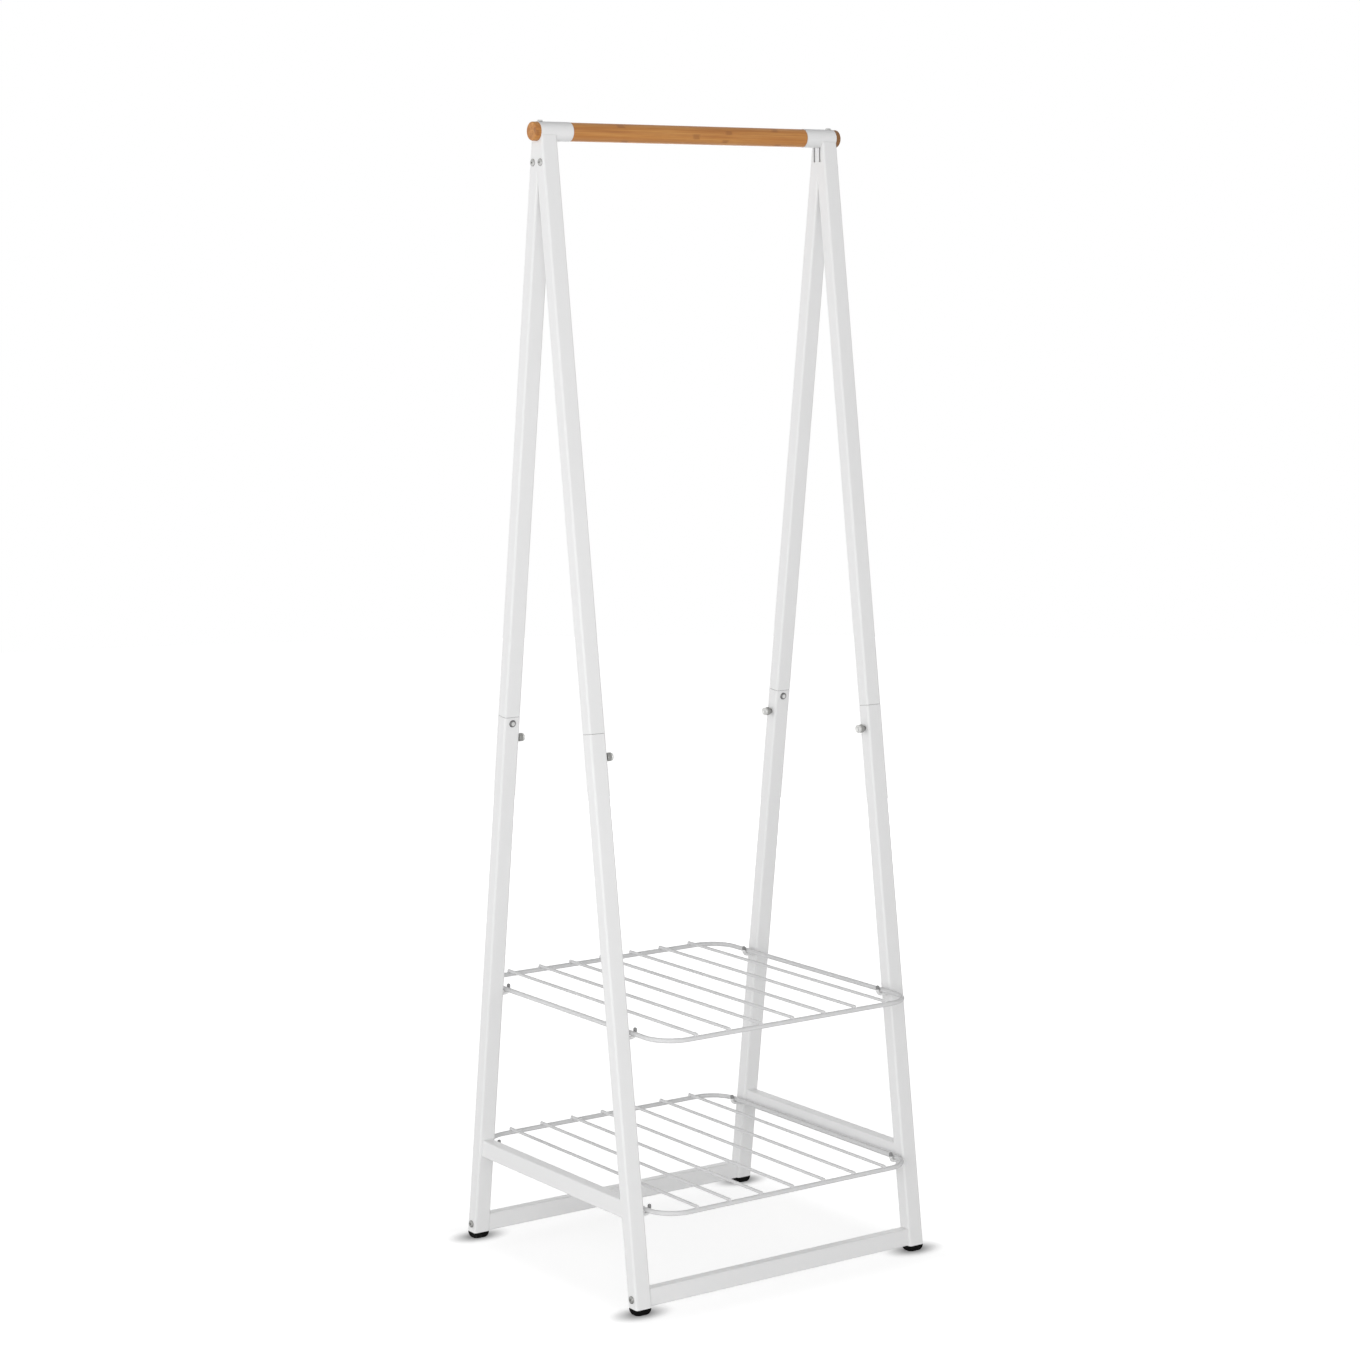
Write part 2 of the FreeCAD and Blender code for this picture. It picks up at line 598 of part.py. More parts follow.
def bar_bracket(side_name, side):
    """A sleeve with a plate and two webs welded under it, which drop into the leg tops."""
    body = new_body("bar_bracket_" + side_name)
    ring = new_sketch(body, "YZ_Plane", up=SLEEVE_START)
    circle(ring, "sleeve_diameter")
    pad(body, ring, "sleeve_inside + sleeve_outside")
    plate_face = f"({OUTER_FACE} - leg_wall)"
    plate = new_sketch(body, "YZ_Plane", up=f"{plate_face} - plate_thickness")

    flat_wall = f"(({DEPTH_INSIDE} / 2 - {INNER_CORNER}) / cos({LEAN}))"

    def half_width(drop):
        return f"({centreline(f'bar_height - {drop}')} + {flat_wall} - plate_gap)"
    low = half_width("plate_drop")
    high = half_width("0")
    polyline(plate, [(f"-{low}", "-plate_drop"), (low, "-plate_drop"), (high, "0"), (f"-{high}", "0")])
    pad(body, plate, "plate_thickness")
    # A notch clears the rounded inside corners where the two legs meet
    notch = new_sketch(body, "YZ_Plane", up=f"{plate_face} - plate_thickness")
    notch_top = f"(apex_rise - ({flat_wall} - plate_gap) / tan({LEAN}))"
    notch_base = f"{notch_top} - {CLEAR}"
    spread = f"({CLEAR} * tan({LEAN}))"
    polyline(notch, [("0", notch_top), (spread, notch_base), (f"-{spread}", notch_base)])
    pocket(body, notch, "with")
    web_face = f"({INNER_FACE} + web_recess)"
    for sign in (-1, 1):
        web = new_sketch(body, "YZ_Plane", up=web_face)
        near = f"{sign} * (web_spacing / 2 - web_thickness / 2)"
        far = f"{sign} * (web_spacing / 2 + web_thickness / 2)"
        bottom = "-slot_drop + slot_gap"
        polyline(web, [(near, bottom), (far, bottom), (far, "0"), (near, "0")])
        pad(body, web, f"{plate_face} - plate_thickness - {web_face}")
    bore = new_sketch(body, "YZ_Plane")
    circle(bore, SLEEVE_BORE)
    pocket(body, bore, "with")
    bolts = new_sketch(body, "YZ_Plane", up=f"{plate_face} - plate_thickness")
    for sign in (-1, 1):
        circle(bolts, "top_bolt_shank + 2 * thread_gap", f"{sign} * top_bolt_spacing / 2", "-top_bolt_drop")
    pocket(body, bolts, "with")
    screw = new_sketch(body, "XY_Plane")
    circle(screw, "cap_screw_shank + 2 * thread_gap", f"{SLEEVE_END} - cap_screw_inset", "0")
    pocket(body, screw, "with")
    place(body, "0", "0", "bar_height", Vector(0, 0, 1), "0" if side > 0 else "180")


def end_cap(side_name, side):
    """A bamboo plug with a rounded head, in the outer end of a sleeve."""
    body = new_body("end_cap_" + side_name)
    profile = new_sketch(body, "XZ_Plane")
    stub = f"{SLEEVE_BORE} / 2 - seat_gap"
    outer = f"({SLEEVE_END} + cap_thickness)"
    inner = f"{SLEEVE_END} - cap_stub"
    polyline(profile, [(inner, "0"), (inner, stub), (SLEEVE_END, stub), (SLEEVE_END, "cap_diameter / 2"),
                       (outer, "cap_diameter / 2"), (outer, "0")])
    revolve(body, profile)
    dress(body, "Fillet", ring_at("x", outer, "cap_diameter"), "cap_round")
    pilot = new_sketch(body, "XY_Plane")
    circle(pilot, "cap_screw_shank + 2 * thread_gap", f"{SLEEVE_END} - cap_screw_inset", "0")
    pocket(body, pilot, "with")
    place(body, "0", "0", "bar_height", Vector(0, 0, 1), "0" if side > 0 else "180")


# Fasteners and hooks, one of each

def bolt(name, shank, length, head, rise, upright=False):
    """A domed bolt with a hexagon socket, its seat at the origin, its head towards +X, or +Z if upright."""
    body = new_body(name, node=False)
    profile = new_sketch(body, "XZ_Plane")
    steps = [(f"-({length})", "0"), (f"-({length})", f"{shank} / 2"), ("0", f"{shank} / 2"),
             ("0", f"{head} / 2"), (rise, f"{head} / 2"), (rise, "0")]
    polyline(profile, [(radius, along) for along, radius in steps] if upright else steps)
    revolve(body, profile, "V_Axis" if upright else "H_Axis")
    dress(body, "Fillet", ring_at("z" if upright else "x", rise, head), f"{rise} * head_round")
    socket = new_sketch(body, "XY_Plane" if upright else "YZ_Plane", up=rise)
    hexagon(socket, "socket_width")
    pocket(body, socket, "against", "socket_depth")
    return body


def nut(name, width, thickness, thread):
    """A hexagon nut along X, its middle at the origin."""
    body = new_body(name, node=False)
    outline = new_sketch(body, "YZ_Plane")
    hexagon(outline, width)
    circle(outline, f"{thread} + 2 * thread_gap")
    pad(body, outline, thickness, symmetric=True)
    return body


def hook():
    """A bent rod with a collar: along X from its nut, round under the rim wire and up inside it."""
    body = new_body("hook", node=False)
    section = new_sketch(body, "YZ_Plane")
    circle(section, "hook_rod", "0", f"-{HOOK_DROP}")
    pad(body, section, "rim_standoff + leg_wall + hook_nut_thickness")
    bend = revolve(body, section)
    bend.Angle = 90
    tip = new_sketch(body, "XY_Plane")
    circle(tip, "hook_rod", f"-{HOOK_DROP}", "0")
    pad(body, tip, "hook_rise")
    dress(body, "Fillet", ring_at("z", "hook_rise", "hook_rod"), "hook_round")
    collar = new_sketch(body, "YZ_Plane", up="rim_standoff")
    circle(collar, "hook_collar", "0", f"-{HOOK_DROP}")
    pad(body, collar, "hook_collar_length", backward=True)
    return body


# Rails

def side_rail(side_name, side):
    """A tube from the front to the rear lower leg, its ends cut to the legs' lean."""
    body = new_body("side_rail_" + side_name)
    middle = "(side_rail_base + side_rail_height / 2)"
    section = new_sketch(body, "XZ_Plane")
    rounded_rectangle(section, "side_rail_width", "side_rail_height", "rail_corner", y=middle)
    rounded_rectangle(section, "side_rail_width - 2 * rail_wall", "side_rail_height - 2 * rail_wall",
                      "rail_corner - rail_wall", y=middle)
    pad(body, section, "floor_spread", symmetric=True)
    ends = new_sketch(body, "YZ_Plane")
    low = f"side_rail_base - {CLEAR}"
    high = f"side_rail_base + side_rail_height + {CLEAR}"
    wall = f"leg_depth / 2 / cos({LEAN})"
    for sign in (-1, 1):
        corners = [(f"{centreline(low)} - {wall}", low), (f"{HALF} + {CLEAR}", low),
                   (f"{HALF} + {CLEAR}", high), (f"{centreline(high)} - {wall}", high)]
        polyline(ends, [(f"{sign} * ({away})", height) for away, height in corners])
    pocket(body, ends)
    place(body, f"{side} * frame_width / 2", "0", "0")


def floor_rail(end_name, end):
    """A tube from the left to the right A-frame, near the floor."""
    body = new_body("floor_rail_" + end_name)
    section = new_sketch(body, "YZ_Plane")
    rounded_rectangle(section, "floor_rail_width", "floor_rail_height", "rail_corner", y=RAIL_BOLT_HEIGHT)
    rounded_rectangle(section, "floor_rail_width - 2 * rail_wall", "floor_rail_height - 2 * rail_wall",
                      "rail_corner - rail_wall", y=RAIL_BOLT_HEIGHT)
    pad(body, section, f"2 * {INNER_FACE}", symmetric=True)
    place(body, "0", f"{end} * {centreline(RAIL_BOLT_HEIGHT)}", "0")


def rail_plug():
    """A threaded plug along X, its outer face at the origin."""
    body = new_body("rail_plug", node=False)
    section = new_sketch(body, "YZ_Plane")
    rounded_rectangle(section, "floor_rail_width - 2 * rail_wall - 2 * seat_gap",
                      "floor_rail_height - 2 * rail_wall - 2 * seat_gap", "rail_corner - rail_wall")
    circle(section, "rail_bolt_shank + 2 * thread_gap")
    pad(body, section, "plug_length", backward=True)
    return body


# Shelves

def wire_shelf(name, height):
    """A rim of thick wire with thinner wires welded across it from front to rear."""
    body = new_body(name)
    path = new_sketch(body, "XY_Plane")
    rounded_rectangle(path, f"2 * {RIM_HALF_WIDTH}", f"2 * {SHELF_HALF_DEPTH}", "shelf_reach - hook_margin")
    section = new_sketch(body, "XZ_Plane")
    circle(section, "rim_wire", RIM_HALF_WIDTH, "0")
    rim = body.newObject("PartDesign::AdditivePipe", "rim")
    rim.Profile = section
    rim.Spine = path
    wire = new_sketch(body, "XZ_Plane")
    level = "rim_wire / 2 + cross_wire / 2 - weld_depth"
    span = f"({RIM_HALF_WIDTH} - cross_edge)"
    circle(wire, "cross_wire", f"-{span}", level)
    first = pad(body, wire, f"2 * {SHELF_HALF_DEPTH} + 2 * cross_overhang", symmetric=True)
    row = body.newObject("PartDesign::LinearPattern", "row")
    row.Originals = [first]
    row.Direction = (wire, ["H_Axis"])
    bind(row, "Length", f"2 * {span}")
    bind(row, "Occurrences", "cross_count")
    body.Tip = row
    place(body, "0", "0", height)


# The rack

hanging_bar()
for side_name, side in SIDES.items():
    bar_bracket(side_name, side)
    end_cap(side_name, side)
    side_rail(side_name, side)
for end_name, end in ENDS.items():
    floor_rail(end_name, end)
for name, side, end in CORNERS:
    upper_leg(name, side, end)
    lower_leg(name, side, end)
    leg_connector(name, side, end)
    snap_button(name, side, end)
    button_spring(name, side, end)
    thumbscrew(name, side, end)
    foot(name, side, end)
wire_shelf("upper_shelf", "upper_shelf_height")
wire_shelf("lower_shelf", "lower_shelf_height")

top_bolt = bolt("top_bolt", "top_bolt_shank", "leg_wall + plate_thickness",
                "top_bolt_head", "top_bolt_rise")
group("leg_top_bolts", top_bolt, [
    (f"{side} * {OUTER_FACE}", f"{end} * top_bolt_spacing / 2", TOP_BOLT_HEIGHT, side)
    for name, side, end in CORNERS])

cap_screw = bolt("cap_screw", "cap_screw_shank", "cap_screw_depth",
                 "cap_screw_head", "cap_screw_rise", upright=True)
group("end_cap_screws", cap_screw, [
    (f"{side} * ({SLEEVE_END} - cap_screw_inset)", "0", "bar_height + sleeve_diameter / 2", side)
    for side in SIDES.values()])

rail_bolt = bolt("rail_bolt", "rail_bolt_shank", "leg_width + rail_bolt_grip",
                 "rail_bolt_head", "rail_bolt_rise")
group("floor_rail_bolts", rail_bolt, [
    (f"{side} * {OUTER_FACE}", f"{end} * {centreline(RAIL_BOLT_HEIGHT)}", RAIL_BOLT_HEIGHT, side)
    for name, side, end in CORNERS])

group("floor_rail_plugs", rail_plug(), [
    (f"{side} * {INNER_FACE}", f"{end} * {centreline(RAIL_BOLT_HEIGHT)}", RAIL_BOLT_HEIGHT, side)
    for name, side, end in CORNERS])

thumb_nut = nut("thumb_nut", "thumb_nut_width", "thumb_nut_thickness", "thumb_thread")
group("thumbscrew_nuts", thumb_nut, [
    (f"{side} * (frame_width / 2 - {THUMB_NUT_START} - thumb_nut_thickness / 2)",
     f"{end} * ({HALF} - {THUMB_PLACE} * sin({LEAN}))", f"{THUMB_PLACE} * cos({LEAN})", side)
    for name, side, end in CORNERS])

shelf_hook = hook()
hook_nut = nut("hook_nut", "hook_nut_width", "hook_nut_thickness", "hook_rod")
for level, height in HOOK_HEIGHTS.items():
    group(f"{level}_shelf_hooks", shelf_hook, [
        (f"{side} * {RIM_HALF_WIDTH}", f"{end} * {centreline(height)}", f"{height} + {HOOK_DROP}", side)
        for name, side, end in CORNERS])
group("hook_nuts", hook_nut, [
    (f"{side} * ({INNER_FACE} + leg_wall + hook_nut_thickness / 2)",
     f"{end} * {centreline(height)}", height, side)
    for height in HOOK_HEIGHTS.values() for name, side, end in CORNERS])

doc.recompute()

# Every object sound before anything is written
for item in doc.Objects:
    if {"Invalid", "Error"} & set(item.State):
        raise ValueError(f"{item.Name} failed: {item.State}")
shapes = {node.Label: node.Shape for node in nodes}
for name, shape in shapes.items():
    if shape.isNull() or not shape.isValid() or not shape.Solids:
        raise ValueError(f"{name} has no sound shape")

os.makedirs("parts", exist_ok=True)
for name, shape in shapes.items():
    shape.exportStep(f"parts/{name}.step")
    print(f"{name}: {len(shape.Solids)} solids, {shape.Volume / 1000:.2f} cm3")
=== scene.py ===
import json
import math
import random

import bmesh
import bpy
from mathutils import Matrix, Vector


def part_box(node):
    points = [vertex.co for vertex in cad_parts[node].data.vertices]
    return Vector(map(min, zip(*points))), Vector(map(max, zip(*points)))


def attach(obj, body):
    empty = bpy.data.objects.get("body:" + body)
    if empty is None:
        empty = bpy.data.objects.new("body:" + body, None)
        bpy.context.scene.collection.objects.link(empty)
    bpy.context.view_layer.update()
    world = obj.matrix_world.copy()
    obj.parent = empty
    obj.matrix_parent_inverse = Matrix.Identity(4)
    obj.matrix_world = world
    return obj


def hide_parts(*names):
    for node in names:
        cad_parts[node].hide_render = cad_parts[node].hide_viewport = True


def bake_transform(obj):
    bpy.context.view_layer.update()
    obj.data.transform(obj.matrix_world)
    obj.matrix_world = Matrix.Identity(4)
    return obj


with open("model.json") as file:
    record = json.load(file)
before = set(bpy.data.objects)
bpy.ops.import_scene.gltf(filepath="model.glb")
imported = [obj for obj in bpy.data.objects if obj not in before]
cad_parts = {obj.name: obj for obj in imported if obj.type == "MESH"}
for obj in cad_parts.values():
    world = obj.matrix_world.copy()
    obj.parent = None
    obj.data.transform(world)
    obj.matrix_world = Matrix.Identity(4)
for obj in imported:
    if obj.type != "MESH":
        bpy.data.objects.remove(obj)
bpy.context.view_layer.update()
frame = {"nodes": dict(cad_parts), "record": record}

# A white A-frame clothes rack with a bamboo bar. Metres, +X along the bar, -Y to the front, +Z up.

random.seed(7)

CORNERS = ("front_left", "front_right", "rear_left", "rear_right")
MM = 0.001


# Camera, placed as in the photograph

CAMERA_PLACE = Vector((-2.959, -4.187, 1.650))
CAMERA_AIM = Vector((-0.023, 0.0, 0.979))
CAMERA_ROLL = math.radians(-0.288)
FOCAL_PIXELS = 3075.3
PHOTO_PIXELS = 1360
SENSOR_MM = 36.0


def make_camera():
    data = bpy.data.cameras.new("camera")
    data.sensor_width = SENSOR_MM
    data.lens = FOCAL_PIXELS / PHOTO_PIXELS * SENSOR_MM
    camera = bpy.data.objects.new("camera", data)
    bpy.context.scene.collection.objects.link(camera)
    ahead = (CAMERA_AIM - CAMERA_PLACE).normalized()
    level_right = ahead.cross(Vector((0, 0, 1))).normalized()
    level_up = level_right.cross(ahead)
    cosine = math.cos(CAMERA_ROLL)
    sine = math.sin(CAMERA_ROLL)
    right = cosine * level_right + sine * level_up
    up = cosine * level_up - sine * level_right
    turn = Matrix((right, up, -ahead)).transposed()
    camera.matrix_world = Matrix.Translation(CAMERA_PLACE) @ turn.to_4x4()
    bpy.context.scene.camera = camera


# Shader helpers

def feed(tree, socket, source):
    """Link a socket to a node's output, or set its value."""
    if isinstance(source, bpy.types.NodeSocket):
        tree.links.new(source, socket)
    else:
        socket.default_value = source


def add(tree, kind, settings=None, **inputs):
    node = tree.nodes.new("ShaderNode" + kind)
    for name, choice in (settings or {}).items():
        setattr(node, name, choice)
    for name, source in inputs.items():
        feed(tree, node.inputs[name], source)
    return node


def sum_up(tree, operation, *sources):
    """A Math node's result."""
    node = tree.nodes.new("ShaderNodeMath")
    node.operation = operation
    for socket, source in zip(node.inputs, sources):
        feed(tree, socket, source)
    return node.outputs["Value"]


def mix(tree, share, first, second):
    """A colour between two, by a share of the second."""
    node = add(tree, "Mix", {"data_type": "RGBA"})
    feed(tree, node.inputs["Factor"], share)
    for socket, source in zip([s for s in node.inputs if s.type == "RGBA"], (first, second)):
        feed(tree, socket, source)
    return [s for s in node.outputs if s.type == "RGBA"][0]


def spread(tree, source, low, high, out_low, out_high):
    """A value mapped from one range to another, held at the ends."""
    node = add(tree, "MapRange", {"clamp": True, "interpolation_type": "SMOOTHSTEP"})
    ends = {"From Min": low, "From Max": high, "To Min": out_low, "To Max": out_high}
    for name, number in ends.items():
        node.inputs[name].default_value = number
    feed(tree, node.inputs["Value"], source)
    return node.outputs["Result"]


def noise(tree, place, scale, detail=2.0, rough=0.5):
    node = add(tree, "TexNoise", Vector=place, Scale=scale, Detail=detail, Roughness=rough)
    return node.outputs["Fac"]


def stretched(tree, place, scale):
    node = add(tree, "Mapping", Vector=place, Scale=scale)
    return node.outputs["Vector"]


def new_material(name):
    material = bpy.data.materials.new(name)
    material.use_nodes = True
    tree = material.node_tree
    surface = tree.nodes["Principled BSDF"]
    place = add(tree, "TexCoord").outputs["Object"]
    return material, tree, surface, place


def bump(tree, surface, height, strength, distance):
    node = add(tree, "Bump", Height=height, Strength=strength, Distance=distance)
    tree.links.new(node.outputs["Normal"], surface.inputs["Normal"])


def toned(base, factor):
    """A colour made darker or lighter, with its alpha."""
    return tuple(factor * part for part in base) + (1,)


# Materials

COAT = (0.830, 0.830, 0.830)
# The shelf wires' coat: the white coat made darker, painted shade for the thin wires.
SHADED_WIRE_COAT = (0.718, 0.718, 0.720)
CREASE_PAINTED_SHADE = (0.42, 0.41, 0.39, 1)
CREASE_SHADE_REACH = 5 * MM
CREASE_SHADE_SHARE = 0.30


def powder_coat(name, base):
    """Satin powder coat: faint orange peel, slow tone drift, and painted shade darkening the creases.
    """
    material, tree, surface, place = new_material(name)
    drift = noise(tree, place, 5.0, 3.0)
    colour = mix(tree, drift, toned(base, 0.98), toned(base, 1.02))
    # Painted shade: darker where ambient occlusion finds creases, recesses and joints, standing in for
    # the shade there.
    crease = add(tree, "AmbientOcclusion", {"samples": 8}, Distance=CREASE_SHADE_REACH).outputs["AO"]
    shade = spread(tree, crease, 0.15, 0.75, 1.0, 0.0)
    colour = mix(tree, sum_up(tree, "MULTIPLY", shade, CREASE_SHADE_SHARE), colour, CREASE_PAINTED_SHADE)
    feed(tree, surface.inputs["Base Color"], colour)
    peel = noise(tree, place, 850.0, 2.0)
    feed(tree, surface.inputs["Roughness"], spread(tree, peel, 0.3, 0.7, 0.54, 0.62))
    surface.inputs["Specular IOR Level"].default_value = 0.30
    bump(tree, surface, peel, 0.10, 0.15 * MM)
    return material


DIP = (0.26, 0.26, 0.26, 1)
DIP_WAVER = 0.6 * MM
DIP_EDGE = 0.2 * MM


def dipped_hook(name, level):
    """A coated hook whose tip, above a level, is dipped in dark grey plastic."""
    material = powder_coat(name, COAT)
    tree = material.node_tree
    surface = tree.nodes["Principled BSDF"]
    coat = surface.inputs["Base Color"].links[0].from_socket
    place = add(tree, "TexCoord").outputs["Object"]
    edge = sum_up(tree, "MULTIPLY", noise(tree, place, 400.0), DIP_WAVER)
    height = sum_up(tree, "SUBTRACT", add(tree, "SeparateXYZ", Vector=place).outputs["Z"], edge)
    dipped = spread(tree, height, level - DIP_EDGE, level + DIP_EDGE, 0.0, 1.0)
    feed(tree, surface.inputs["Base Color"], mix(tree, dipped, coat, DIP))
    return material


# Bamboo: its colours, then its glued strips and the knuckles along each strip
BAMBOO_DARK = (0.462, 0.177, 0.035, 1)
BAMBOO_LIGHT = (0.575, 0.257, 0.057, 1)
BAMBOO_STREAK = (0.385, 0.135, 0.024, 1)
BAMBOO_PALE = (0.660, 0.330, 0.090, 1)
BAMBOO_STRIP = (0.480, 0.188, 0.037, 1)
BAMBOO_CLOUD = (0.620, 0.305, 0.080, 1)
BAMBOO_HAIR = (0.290, 0.100, 0.020, 1)
BAMBOO_KNUCKLE = (0.260, 0.085, 0.016, 1)
BAMBOO_RIM_PAINTED_SHADE = (0.200, 0.085, 0.020, 1)
STRIP_THICKNESS = 6.2 * MM
STRIP_WIDTH = 19 * MM
STRIP_TURN = math.radians(35)
STRIPS_APART = 17.0
KNUCKLE_PITCH = 0.31
KNUCKLE_OFFSET = 7.3
KNUCKLE_WOBBLE = 0.03


def bamboo_wood(name):
    """Laminated bamboo along X: strips of slightly different tone, long fibres and dark knuckles."""
    material, tree, surface, place = new_material(name)
    turned = add(tree, "VectorRotate", {"rotation_type": "X_AXIS"}, Vector=place, Angle=STRIP_TURN)
    parts = add(tree, "SeparateXYZ", Vector=turned.outputs["Vector"])
    along = parts.outputs["X"]
    layer = sum_up(tree, "FLOOR", sum_up(tree, "DIVIDE", parts.outputs["Y"], STRIP_THICKNESS))
    board = sum_up(tree, "FLOOR", sum_up(tree, "DIVIDE", parts.outputs["Z"], STRIP_WIDTH))
    strip = sum_up(tree, "ADD", layer, sum_up(tree, "MULTIPLY", board, STRIPS_APART))
    chance = add(tree, "TexWhiteNoise", {"noise_dimensions": "1D"}, W=strip)
    tone = chance.outputs["Value"]
    fibre = noise(tree, stretched(tree, place, (7, 650, 650)), 1.0, 4.0, 0.6)
    hair = noise(tree, stretched(tree, place, (35, 2400, 2400)), 1.0, 2.0)
    cloud = noise(tree, stretched(tree, place, (9, 60, 60)), 1.0, 2.0)
    weave = spread(tree, fibre, 0.30, 0.70, 0.0, 1.0)
    colour = mix(tree, weave, BAMBOO_DARK, BAMBOO_LIGHT)
    streak = noise(tree, stretched(tree, place, (5, 200, 200)), 1.0, 2.0)
    colour = mix(tree, spread(tree, streak, 0.50, 0.68, 0.0, 0.75), colour, BAMBOO_STREAK)
    colour = mix(tree, spread(tree, streak, 0.30, 0.46, 0.60, 0.0), colour, BAMBOO_PALE)
    colour = mix(tree, sum_up(tree, "MULTIPLY", tone, 0.45), colour, BAMBOO_STRIP)
    colour = mix(tree, spread(tree, cloud, 0.45, 0.75, 0.0, 0.40), colour, BAMBOO_CLOUD)
    colour = mix(tree, spread(tree, hair, 0.58, 0.72, 0.0, 0.35), colour, BAMBOO_HAIR)
    wobble = sum_up(tree, "MULTIPLY", noise(tree, place, 160.0), KNUCKLE_WOBBLE)
    offset = sum_up(tree, "MULTIPLY", tone, KNUCKLE_OFFSET)
    pitches = sum_up(tree, "DIVIDE", along, KNUCKLE_PITCH)
    turns = sum_up(tree, "ADD", pitches, sum_up(tree, "ADD", offset, wobble))
    part_turn = sum_up(tree, "FRACT", turns)
    off_centre = sum_up(tree, "ABSOLUTE", sum_up(tree, "SUBTRACT", part_turn, 0.5))
    knuckle = spread(tree, off_centre, 0.010, 0.030, 1.0, 0.0)
    colour = mix(tree, sum_up(tree, "MULTIPLY", knuckle, 0.50), colour, BAMBOO_KNUCKLE)
    feed(tree, surface.inputs["Base Color"], colour)
    feed(tree, surface.inputs["Roughness"], spread(tree, fibre, 0.3, 0.7, 0.58, 0.48))
    surface.inputs["Coat Weight"].default_value = 0.06
    surface.inputs["Coat Roughness"].default_value = 0.30
    bump(tree, surface, sum_up(tree, "ADD", hair, fibre), 0.18, 0.12 * MM)
    return material


BAR_HEIGHT = 1880 * MM
CAP_FACE = 12.8 * MM
CAP_RIM = 14.8 * MM


def bamboo_cap_painted_shade(name):
    """Bamboo with a darker rim: painted shade standing in for the shade this end cap sits in."""
    material = bamboo_wood(name)
    tree = material.node_tree
    surface = tree.nodes["Principled BSDF"]
    wood = surface.inputs["Base Color"].links[0].from_socket
    from_axis = add(tree, "VectorMath", {"operation": "MULTIPLY_ADD"})
    feed(tree, from_axis.inputs[0], add(tree, "TexCoord").outputs["Object"])
    from_axis.inputs[1].default_value = (0, 1, 1)
    from_axis.inputs[2].default_value = (0, 0, -BAR_HEIGHT)
    radius = add(tree, "VectorMath", {"operation": "LENGTH"})
    feed(tree, radius.inputs[0], from_axis.outputs["Vector"])
    # Painted shade: darker toward the cap's rim.
    rim = spread(tree, radius.outputs["Value"], CAP_FACE, CAP_RIM, 0.0, 0.85)
    feed(tree, surface.inputs["Base Color"], mix(tree, rim, wood, BAMBOO_RIM_PAINTED_SHADE))
    return material


def zinc_steel(name, base, rough):
    """Zinc-plated steel: mottled plating and fine turning marks."""
    material, tree, surface, place = new_material(name)
    mottle = noise(tree, place, 240.0, 3.0)
    feed(tree, surface.inputs["Base Color"], mix(tree, mottle, toned(base, 0.86), toned(base, 1.08)))
    surface.inputs["Metallic"].default_value = 1.0
    grain = noise(tree, stretched(tree, place, (2600, 500, 500)), 1.0, 2.0)
    feed(tree, surface.inputs["Roughness"], spread(tree, grain, 0.3, 0.7, rough - 0.06, rough + 0.08))
    bump(tree, surface, grain, 0.10, 0.05 * MM)
    return material


PLASTIC = (0.006, 0.006, 0.006, 1)
PLASTIC_SCUFF = (0.020, 0.020, 0.020, 1)


def black_plastic():
    """Moulded plastic with a fine spark-eroded texture and scuffs."""
    material, tree, surface, place = new_material("black_plastic")
    scuff = noise(tree, place, 90.0, 4.0)
    worn = spread(tree, scuff, 0.55, 0.80, 0.0, 1.0)
    feed(tree, surface.inputs["Base Color"], mix(tree, worn, PLASTIC, PLASTIC_SCUFF))
    surface.inputs["Specular IOR Level"].default_value = 0.03
    grit = noise(tree, place, 2400.0, 2.0)
    feed(tree, surface.inputs["Roughness"], spread(tree, grit, 0.3, 0.7, 0.60, 0.75))
    bump(tree, surface, grit, 0.20, 0.08 * MM)
    return material


UPPER_DIP = 447 * MM
LOWER_DIP = 164 * MM
WHITE = powder_coat("white_powder_coat", COAT)
# Painted shade: the shelves' wires and their welds get a darker copy of the white coat.
SHADED_WIRE_WHITE = powder_coat("wire_powder_coat_painted_shade", SHADED_WIRE_COAT)
BAMBOO = bamboo_wood("bamboo")
CAP_BAMBOO_PAINTED_SHADE = bamboo_cap_painted_shade("bamboo_cap_painted_shade")
ZINC = zinc_steel("zinc_steel", (0.60, 0.60, 0.59), 0.36)
DULL_ZINC = zinc_steel("dull_zinc_steel", (0.19, 0.19, 0.19), 0.42)
GREY_ZINC = zinc_steel("grey_zinc_steel", (0.32, 0.32, 0.31), 0.40)
BOLT_ZINC = zinc_steel("bolt_zinc_steel", (0.44, 0.44, 0.43), 0.40)
BLACK = black_plastic()
FINISHES = {"white_steel": WHITE, "bamboo": BAMBOO, "zinc_steel": ZINC, "black_plastic": BLACK}
OWN_FINISHES = {
    "upper_shelf": SHADED_WIRE_WHITE,
    "lower_shelf": SHADED_WIRE_WHITE,
    "floor_rail_bolts": GREY_ZINC,
    "leg_top_bolts": BOLT_ZINC,
    # Only the right end cap carries the rim's painted shade.
    "end_cap_right": CAP_BAMBOO_PAINTED_SHADE,
    "upper_shelf_hooks": dipped_hook("upper_hook", UPPER_DIP),
    "lower_shelf_hooks": dipped_hook("lower_hook", LOWER_DIP)}
OWN_FINISHES.update({"leg_connector_" + corner: DULL_ZINC for corner in CORNERS})


def paint_nodes():
    for entry in frame["record"]["subparts"]:
        finish = OWN_FINISHES.get(entry["node"], FINISHES[entry["material_slot"]])
        for slot in frame["nodes"][entry["node"]].material_slots:
            slot.material = finish


